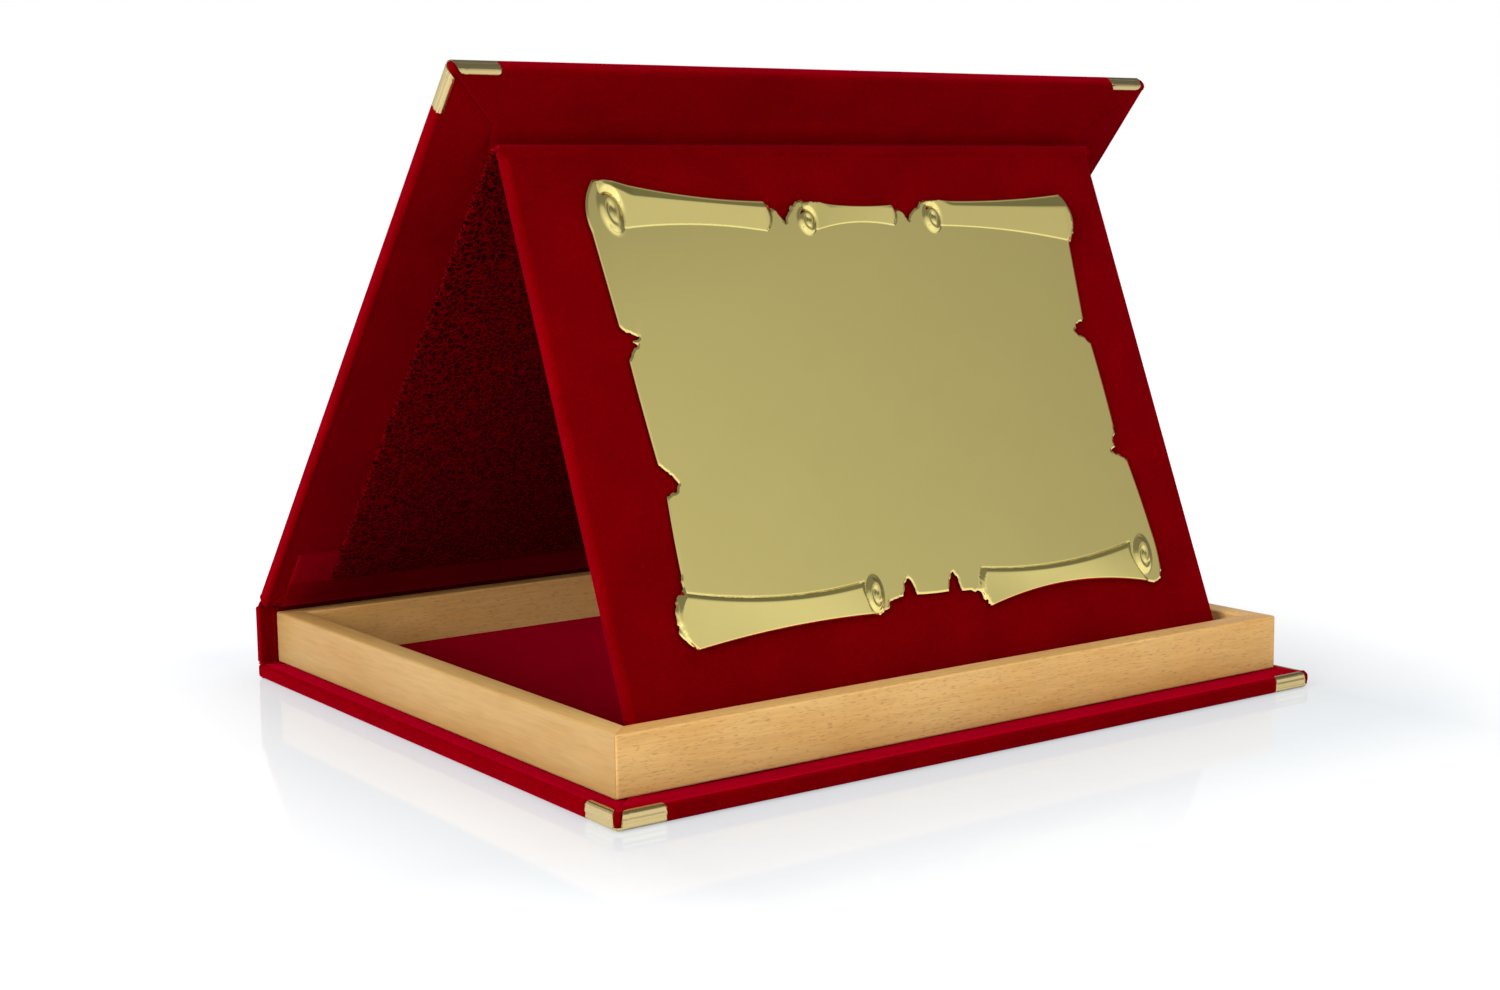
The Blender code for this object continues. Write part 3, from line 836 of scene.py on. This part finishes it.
# A roll's top and bottom edges as (x, y, x, y, bow upwards), the bows of its left and right ends,
# whether it is an upper roll, and its curl as (x, y, half width, half height, lean)
Roll = namedtuple("Roll", "top bottom left_bow right_bow upper curl")
ROLLS = (
    Roll((-104.5, 87.4, -38.9, 78.8, -1.7), (-103.4, 68.9, -39.9, 66.5, 2.1), 0, 2.9, True,
         (-106.6, 75.6, 4.3, 8, -0.10)),
    Roll((-14.7, 77.9, 22.6, 76.5, -1), (-15.6, 66.7, 21.6, 67.5, 2.1), 0, 1.8, True,
         (-20.3, 70.2, 3.7, 4.9, 0)),
    Roll((45.9, 77.8, 112.9, 79.7, -1.1), (46.4, 66.9, 112.4, 58.9, 1.4), 0, 5.3, True,
         (41.7, 70.2, 3.8, 5.4, 0)),
    Roll((-113.4, -64.7, -35.1, -69.9, -3.4), (-112.2, -86.1, -33, -83.2, 1.6), 5, -1.6, False,
         (-31.9, -75.6, 3.6, 6.4, 0.12)),
    Roll((21.6, -71, 100.9, -69.2, -3.3), (21.6, -87, 105.4, -87, 4.8), 3, -2.6, False,
         (105.8, -75.6, 4.3, 7.2, 0.12)),
)

# The upper rolls: step, slope and bead of the back, and slope of the face
UPPER_STEP = 0.95
UPPER_BACK_SLOPE = math.tan(math.radians(12.5))
ROLL_FACE_SLOPE = math.tan(math.radians(8.5))
ROLL_BEAD = 0.16
# The lower rolls: a groove, a back of even width up to the ridge, and a face falling from there
LOWER_BACK_SLOPE = math.tan(math.radians(19))
LOWER_BACK_WIDTH = 2.7
LOWER_RIDGE = 1.75
GROOVE_WIDTH = 0.8
GROOVE_DEPTH = 0.25
# All rolls: foot, slope of the ends, and how softly the slopes meet
ROLL_FOOT = 0.3
ROLL_END_SLOPE = math.tan(math.radians(36))
RIDGE_SOFTNESS = 0.04
CURL_HEIGHT = 1.6
CURL_TURNS = 1.25
CURL_GROOVE = 0.45
# The rim, the torn stretches of the outline and the plate's place on the panel
RIM_WIDTH = 0.7
RIM_DROP = 0.4
TEAR_LENGTH = 13.0
TEAR_ROUGHNESS = 0.9
SHEET = 0.6
OUTLINE_SPACING = 0.8
PLATE_CENTRE = (2.8, -103.9, 0)
# Rows of mesh points: inwards from the rim, up each roll, and down from its top edge
RIM_ROWS = (0.2, 0.4, 0.6, 0.8, 1.05, 1.35)
ROLL_ROWS = np.concatenate(
    (np.linspace(-0.05, 0.07, 12), np.linspace(0.1, 0.66, 15), np.linspace(0.69, 1.05, 18))
)
TOP_ROWS = np.array((0.15, 0.3, 0.45, 0.6, 0.75, 0.85, 0.95, 1.05, 1.15, 1.3))


def bowed_line(start, end, bow):
    """Points from start up to but not including end, bowing to the left."""
    chord = end - start
    length = np.hypot(*chord)
    count = max(1, round(length / OUTLINE_SPACING))
    t = np.arange(count) / count
    left = np.array((-chord[1], chord[0])) / length
    return start + np.outer(t, chord) + np.outer(4 * bow * t * (1 - t), left)


def ragged(point):
    """A small shift that roughens the torn stretches."""
    place = Vector((point[0] * 0.55, point[1] * 0.55, 7))
    return [TEAR_ROUGHNESS * noise.noise(spot) for spot in (place, place + Vector((31, 17, 0)))]


def outline_points():
    """The plate's outline as closely spaced points."""
    stretches = []
    corners = np.array(OUTLINE)
    for here, there in zip(corners, np.roll(corners, -1, axis=0)):
        line = bowed_line(here[:2], there[:2], here[2])
        if len(line) * OUTLINE_SPACING < TEAR_LENGTH:
            line[1:] += [ragged(point) for point in line[1:]]
        stretches.append(line)
    return np.concatenate(stretches)


def edge_height(x, edge):
    """The y of a roll's bowed edge at x."""
    x0, y0, x1, y1, bow = edge
    t = (x - x0) / (x1 - x0)
    return y0 + (y1 - y0) * t + 4 * bow * np.clip(t * (1 - t), 0, None)


def roll_relief(x, y, roll):
    """Height of one roll: a steep back, a gently falling face and a crisp foot."""
    above = y - edge_height(x, roll.bottom)
    below = edge_height(x, roll.top) - y
    share = np.clip(above / np.maximum(above + below, 0.1), 0, 1)
    bulge = 4 * share * (1 - share)
    from_left = x - roll.bottom[0] - (roll.top[0] - roll.bottom[0]) * share + roll.left_bow * bulge
    from_right = roll.bottom[2] + (roll.top[2] - roll.bottom[2]) * share + roll.right_bow * bulge - x
    foot = ROLL_FOOT * ease(above / 0.35)
    groove = 0
    if roll.upper:
        step = UPPER_STEP + 0.8 * (1 - ease((from_left + 1) / 9))
        from_left = from_left + 6
        bead = ROLL_BEAD * np.exp(-(((below - 0.75) / 0.35) ** 2))
        back = step * ease(below / 0.7) + UPPER_BACK_SLOPE * below + bead
        face = foot + ROLL_FACE_SLOPE * above
    else:
        step = LOWER_RIDGE - LOWER_BACK_SLOPE * (LOWER_BACK_WIDTH - GROOVE_WIDTH)
        past_groove = below - GROOVE_WIDTH
        back = step * ease(past_groove / 0.4) + LOWER_BACK_SLOPE * np.maximum(past_groove, 0)
        face_width = np.maximum(above + below - LOWER_BACK_WIDTH, 1)
        face = foot + (LOWER_RIDGE - ROLL_FOOT) * above / face_width
        groove = GROOVE_DEPTH * ease(below / GROOVE_WIDTH) * (1 - ease(past_groove / 0.25))
    ends = [0.35 * ease(d / 0.45) + ROLL_END_SLOPE * d for d in (from_left, from_right)]
    slopes = np.array([back, face, *ends])
    lowest = slopes.min(axis=0)
    height = lowest - RIDGE_SOFTNESS * np.log(np.exp(-(slopes - lowest) / RIDGE_SOFTNESS).sum(axis=0))
    inside = (above > 0) & (below > 0) & (from_left > 0) & (from_right > 0)
    return np.where(inside, np.maximum(height, 0) - groove, 0)


def add_curl(height, x, y, curl):
    """The height with a roll's end put in: a mound with a spiral groove."""
    cx, cy, wide, tall, lean = curl
    across = (x - cx - lean * (y - cy)) / wide
    up = (y - cy) / tall
    radius = np.hypot(across, up)
    mound = CURL_HEIGHT * (1 - ease((radius - 0.62) / 0.6))
    phase = radius * CURL_TURNS - np.arctan2(up, across) / (2 * math.pi)
    groove = (0.5 + 0.5 * np.cos(2 * math.pi * phase)) ** 2
    mound = mound - CURL_GROOVE * groove * (1 - ease((radius - 0.85) / 0.3))
    faded = height * ease((radius - 0.8) / 0.45)
    return np.where(radius < 1.3, np.maximum(faded, mound), height)


def distance_to(points, ring):
    """Distance from each point to a closed ring of points."""
    chords = np.roll(ring, -1, axis=0) - ring
    lengths = (chords**2).sum(axis=1)
    nearest = []
    for point in points:
        offset = point - ring
        t = np.clip((offset * chords).sum(axis=1) / lengths, 0, 1)
        gap = offset - t[:, None] * chords
        nearest.append(math.sqrt((gap**2).sum(axis=1).min()))
    return np.array(nearest)


def is_inside(points, ring):
    """Which points lie inside a closed ring."""
    inside = np.zeros(len(points), bool)
    for (x0, y0), (x1, y1) in zip(ring, np.roll(ring, -1, axis=0)):
        if y0 != y1:
            crosses = (y0 > points[:, 1]) != (y1 > points[:, 1])
            inside ^= crosses & (points[:, 0] < x0 + (points[:, 1] - y0) * (x1 - x0) / (y1 - y0))
    return inside


def rim_samples(ring):
    """Rows of points just inside the outline."""
    tangents = np.roll(ring, -1, axis=0) - np.roll(ring, 1, axis=0)
    tangents /= np.linalg.norm(tangents, axis=1)[:, None]
    inward = np.column_stack((tangents[:, 1], -tangents[:, 0]))
    rows = []
    for width in RIM_ROWS:
        row = ring + inward * width
        rows.append(row[distance_to(row, ring) > 0.93 * width])
    rows = np.concatenate(rows)
    return rows[is_inside(rows, ring)]


def plate_samples(ring):
    """Mesh points inside the outline: close on rolls and curls, coarse elsewhere."""
    sets = [np.mgrid[-120:120:5, -90:90:5].reshape(2, -1).T]
    for roll in ROLLS:
        cx, cy, wide, tall, lean = roll.curl
        width = 1.5 * wide
        height = 1.4 * tall
        grid = np.mgrid[cx - width : cx + width : 0.36, cy - height : cy + height : 0.36]
        sets.append(grid.reshape(2, -1).T)
        left = min(roll.top[0], roll.bottom[0]) - roll.left_bow - 1
        right = max(roll.top[2], roll.bottom[2]) + abs(roll.right_bow) + 1
        for x in spread(left, right, 0.62):
            bottom = edge_height(x, roll.bottom)
            top = edge_height(x, roll.top)
            for heights in (bottom + ROLL_ROWS * (top - bottom), top - TOP_ROWS):
                sets.append(np.column_stack((np.full(len(heights), x), heights)))
    points = np.concatenate(sets)
    points = points[is_inside(points, ring)]
    points = points[distance_to(points, ring) > RIM_ROWS[-1] + 0.15]
    cells = np.round(points / (0.3, 0.13)).astype(int)
    kept = np.sort(np.unique(cells, axis=0, return_index=True)[1])
    return np.concatenate((rim_samples(ring), points[kept]))


def plate_height(points, ring):
    """The stamped surface's height over the flat plate."""
    x, y = points.T
    height = sum(roll_relief(x, y, roll) for roll in ROLLS)
    for roll in ROLLS:
        height = add_curl(height, x, y, roll.curl)
    rim = 1 - ease(distance_to(points, ring) / RIM_WIDTH)
    waves = np.array([noise.noise(Vector((px * 0.02, py * 0.02, 4))) for px, py in points])
    return height - RIM_DROP * rim + 0.05 * waves * (1 - rim)


def triangulate(points, ring):
    """Triangles inside a ring, over points that start with the ring's own."""
    edges = [(i, (i + 1) % len(ring)) for i in range(len(ring))]
    made = delaunay_2d_cdt([Vector(p) for p in points], edges, [], 1, 1e-6, False)
    plan = np.array([tuple(v) for v in made[0]])
    triangles = np.array([tuple(f) for f in made[2]])
    return plan, triangles[is_inside(plan[triangles].mean(axis=1), ring)].tolist()


def build_scroll_plate():
    """The stamped plate: a thin sheet with five rolls and their curled ends."""
    low = local_box("scroll_plate", PANEL)[0][2]
    ring = outline_points()
    plan, faces = triangulate(np.concatenate((ring, plate_samples(ring))), ring)
    back_plan, back_faces = triangulate(ring, ring)
    front = np.column_stack((plan, low + SHEET + plate_height(plan, ring)))
    back = np.column_stack((back_plan, np.full(len(back_plan), low)))
    shift = len(front)
    faces += [tuple(shift + corner for corner in reversed(face)) for face in back_faces]
    for index in range(len(ring)):
        after = (index + 1) % len(ring)
        faces.append((index, after, shift + after, shift + index))
    points = np.concatenate((front, back)) + PLATE_CENTRE
    plate = new_piece("scroll_plate_metal", points, faces, GOLD, PANEL)
    plate.data.set_sharp_from_angle(angle=math.radians(62))
    settle(plate, "panel", "scroll_plate", slot="gold_plate")


# ---- corner protectors

def protector_section(thick):
    """The band's (inset, height) section round the edge, and the lengths along it."""
    low_arc, high_arc = edge_arcs(EDGE_RADIUS, thick, 8)
    flap = [(EDGE_RADIUS + 0.25, thick), (FLAP, thick - 0.12), (FLAP + 0.15, thick - 0.4)]
    section = np.array(low_arc + high_arc + flap)
    steps = np.hypot(*np.diff(section, axis=0).T)
    return section, np.concatenate(([0], np.cumsum(steps)))


def band_reach(along, section, lengths):
    """How far round the section the metal goes: little at the notch, then the whole way, with
    the flap cut back along the mitre and the arm's end rounded."""
    full = lengths[-1]
    low = 0.27 * full
    rise = ease((along - NOTCH + 0.9) / 0.9)
    end = 1 - np.clip((BRASS_ARM - along) / ARM_ROUNDING, 0, 1)
    rounded = full * (0.66 + 0.34 * math.sqrt(1 - end * end))
    upper = len(section) // 2
    mitred = np.interp(along - MITRE_GAP, section[upper:, 0], lengths[upper:])
    return low + (min(rounded, mitred) - low) * rise


def rolled_edge(height, thick):
    """A slight hollow and swell across the metal's side face."""
    share = np.clip((height - 1) / (thick - 2), 0, 1)
    return 0.17 * (1 - np.cos(4 * math.pi * share)) * (share > 0) * (share < 1)


def protector_row(p, section, lengths, side_share):
    """(x, y, height) points across the brass, p along one arm or -p along the other."""
    along = abs(p)
    spare = max(0, min(along, BRASS_ARM - along) - EDGE_RADIUS)
    plate = EDGE_RADIUS + spare * np.linspace(1, 0, 9)[:-1]
    folded = band_reach(along, section, lengths)
    if p > 0:
        folded = min(folded, side_share * lengths[-1])
    walk = np.linspace(0, folded, 31)
    inset = np.concatenate((plate, np.interp(walk, lengths, section[:, 0])))
    height = np.concatenate((np.zeros(len(plate)), np.interp(walk, lengths, section[:, 1])))
    far = np.maximum(along, inset)
    sunk = inset + rolled_edge(height, section[:, 1].max())
    return np.column_stack((far, sunk, height) if p < 0 else (sunk, far, height))


def corner_protector(board, place, side, name, outer_low, side_share):
    """A folded brass corner: triangular outer plate, two edge bands, an open notch at the tip.
    side_share is how much of the section the arm along Y covers."""
    low, high = local_box(board + "_cover", place)
    section, lengths = protector_section(float(high[2] - low[2]))
    arm_end = BRASS_ARM - ARM_ROUNDING
    tip = spread(0, TIP_LENGTH, 0.22)[:-1]
    middle = spread(TIP_LENGTH, arm_end, 1.6)[:-1]
    arm = np.concatenate((tip, middle, spread(arm_end, BRASS_ARM, 0.35)))
    stations = np.concatenate((-arm[:0:-1], arm))
    rows = np.array([protector_row(p, section, lengths, side_share) for p in stations])
    faces = grid_faces(*rows.shape[:2])
    points = rows.reshape(-1, 3)
    plan = EDGE_RADIUS - round_corner(EDGE_RADIUS - points[:, :2])
    x = (high[0] if side > 0 else low[0]) - side * plan[:, 0]
    z = low[2] + points[:, 2] if outer_low else high[2] - points[:, 2]
    points = np.column_stack((x, low[1] + plan[:, 1], z))
    piece = new_piece(f"{board}_corner_{name}_brass", points, faces, BRASS, place)
    turn_outwards(piece, (low + high) / 2)
    shell = piece.modifiers.new("metal_thickness", "SOLIDIFY")
    shell.thickness = METAL * MM
    shell.offset = -1
    shell.use_even_offset = False
    piece.data.set_sharp_from_angle(angle=math.radians(50))
    settle(piece, board, f"{board}_corner_{name}", slot="corner_brass")


def turn_outwards(piece, centre):
    """Flips a surface that faces the board's middle."""
    mesh = piece.data
    if sum((f.center / MM - Vector(centre)).dot(f.normal) * f.area for f in mesh.polygons) < 0:
        mesh.flip_normals()


def build_corners():
    """Protectors for the base's front corners and the lid's free corners."""
    for (side, name), side_share in zip(SIDES, (1, 0.6)):
        corner_protector("base", WORLD, side, name, True, 1)
        corner_protector("lid", LID, side, name, False, side_share)


# ---- carried-over CAD nodes

def dress_inner_parts():
    """The materials of the boards, cards and tapes."""
    for name, node in frame["nodes"].items():
        if not node.hide_render:
            tape = name.startswith("mounting_tape")
            node.data.materials.clear()
            node.data.materials.append(FOAM if tape else GREYBOARD)


# ---- studio

CAMERA_SPOT = (-0.51727, -0.71663, 0.20219)
HEADING_DIP_ROLL = np.radians((35.32, 7.94, -0.78))
LENS = 51.963
FLOOR_REACH = 6000.0
FLOOR_DEPTH = -0.1


def add_object(name, data):
    """Links a new object to the scene."""
    made = bpy.data.objects.new(name, data)
    bpy.context.scene.collection.objects.link(made)
    return made


def add_camera():
    """The camera: ahead of the box, to its left and slightly above."""
    heading, dip, roll = HEADING_DIP_ROLL
    turn = Matrix.Rotation(-heading, 4, "Z") @ Matrix.Rotation(math.pi / 2 - dip, 4, "X")
    turn @= Matrix.Rotation(roll, 4, "Z")
    data = bpy.data.cameras.new("camera")
    data.lens = LENS
    data.sensor_width = 36
    data.clip_start = 0.01
    camera = add_object("camera", data)
    camera.matrix_world = Matrix.Translation(CAMERA_SPOT) @ turn
    bpy.context.scene.camera = camera


def add_world():
    """White for the lens, soft light for cloth and wood, and a studio for metal to mirror."""
    world = bpy.data.worlds.new("studio")
    world.use_nodes = True
    bpy.context.scene.world = world
    tree = world.node_tree
    tree.nodes.clear()
    parts = add_node("SeparateXYZ", {0: source(tree, "TexCoord", "Generated")})
    across, height = (
        calculate("MULTIPLY", calculate("ADD", parts.outputs[axis], 1), 0.5) for axis in "XZ"
    )
    sky = ramp(
        height, (0, 1), (0.54, 0.98), (0.6, 0.80), (0.69, 0.64), (0.77, 0.52), (0.81, 0.3), (0.86, 0.2),
        (1, 0.2),
    )
    shade = ((0.1, 1.25), (0.73, 1.2), (0.765, 1.14), (0.85, 0.79), (0.93, 0.3), (1, 0.25))
    mirrored = darken(sky, 1, across, *shade)
    soft = ramp(height, (0.4, 0.55), (0.75, 0.78), (1, 1))
    soft = darken(soft, 1, across, (0, 1.25), (1, 0.8))
    lighting = tint(source(tree, "LightPath", "Is Glossy Ray"), soft, mirrored)
    seen = tint(source(tree, "LightPath", "Is Camera Ray"), lighting, (1, 1, 1))
    background = add_node("Background", {"Color": seen, "Strength": 1})
    add_node("OutputWorld", {"Surface": background.outputs[0]})


def add_light(name, place, target, size, power):
    """A soft square light that metal doesn't mirror."""
    data = bpy.data.lights.new(name, "AREA")
    data.size = size
    data.energy = power
    light = add_object(name, data)
    light.location = place
    light.rotation_euler = (Vector(target) - Vector(place)).to_track_quat("-Z", "Y").to_euler()
    light.visible_glossy = False
    light.visible_camera = False


def floor_material():
    """White floor with a faint mirror image that dies away from the object, and a painted contact
    shadow near the object, stronger in front of it.
    """
    material, tree = make_material("studio_floor")
    tree.nodes.remove(tree.nodes["Principled BSDF"])
    place = source(tree, "NewGeometry", "Position")
    parts = add_node("SeparateXYZ", {0: place})
    beyond = []
    for axis in (0, 1):
        middle = (CAD_LOW[axis] + CAD_HIGH[axis]) / 2
        half = (CAD_HIGH[axis] - CAD_LOW[axis]) / 2
        offset = calculate("ABSOLUTE", calculate("SUBTRACT", parts.outputs[axis], middle))
        beyond.append(calculate("MAXIMUM", calculate("SUBTRACT", offset, half), 0))
    distance = calculate("ADD", *beyond)
    away = calculate("MULTIPLY", distance, 4)
    fade = ramp(away, (0, 0.3), (0.15, 0.22), (0.35, 0.14), (0.7, 0.03), (1, 0))
    white = tint(soft_noise(place, 300), (0.88, 0.88, 0.88), (0.92, 0.92, 0.92))
    bounce = add_node("BsdfDiffuse", {"Color": white})
    # Painted contact shadow: near the object the floor's glow is tinted darker and cooler, more so in
    # front.
    painted_contact_shadow = ramp(away, (0, 1), (0.12, 0.7), (0.4, 0.3), (0.9, 0))
    ahead = ramp(calculate("MULTIPLY", beyond[1], 20), (0, 0.56), (1, 1))
    painted_contact_shadow = calculate("MULTIPLY", painted_contact_shadow, ahead)
    shadowed_white = tint(painted_contact_shadow, (1, 1, 1), (0.57, 0.67, 0.73))
    glow = add_node("Emission", {"Color": shadowed_white, "Strength": 0.84})
    matt = source(tree, "BsdfDiffuse", 0)
    matt.node.inputs["Color"].default_value = (0.28, 0.28, 0.28, 1)
    sweep = add_node("AddShader", {0: glow.outputs[0], 1: matt})
    gloss = source(tree, "BsdfGlossy", 0)
    gloss.node.inputs["Color"].default_value = (0.68, 0.6, 0.6, 1)
    gloss.node.inputs["Roughness"].default_value = 0.06
    polished = add_node("MixShader", {0: fade, 1: sweep.outputs[0], 2: gloss})
    lens = source(tree, "LightPath", "Is Camera Ray")
    mix = add_node("MixShader", {0: lens, 1: bounce.outputs[0], 2: polished.outputs[0]})
    connect(tree.nodes["Material Output"].inputs["Surface"], mix.outputs[0])
    return material


def add_studio():
    """Camera, surroundings, floor and lights."""
    bpy.context.scene.view_settings.view_transform = "Standard"
    add_camera()
    add_world()
    corners = [(x * FLOOR_REACH, y * FLOOR_REACH, FLOOR_DEPTH) for x, y in CORNERS]
    new_piece("studio_ground", corners, [(0, 1, 2, 3)], floor_material())
    middle = (CAD_LOW + CAD_HIGH) / 2
    add_light("key_light", (-1.6, -0.3, 0.7), middle, 0.9, 27)
    add_light("top_light", (0.1, 0.2, 1.7), middle, 1.2, 5)
    add_light("front_fill", (0.5, -1.6, 0.7), middle, 1.2, 4)


build_base()
build_rails()
build_lid()
build_lid_core()
build_outer_hinge()
build_inner_hinge()
build_panel()
build_hinge_band()
build_scroll_plate()
build_corners()
dress_inner_parts()
add_studio()
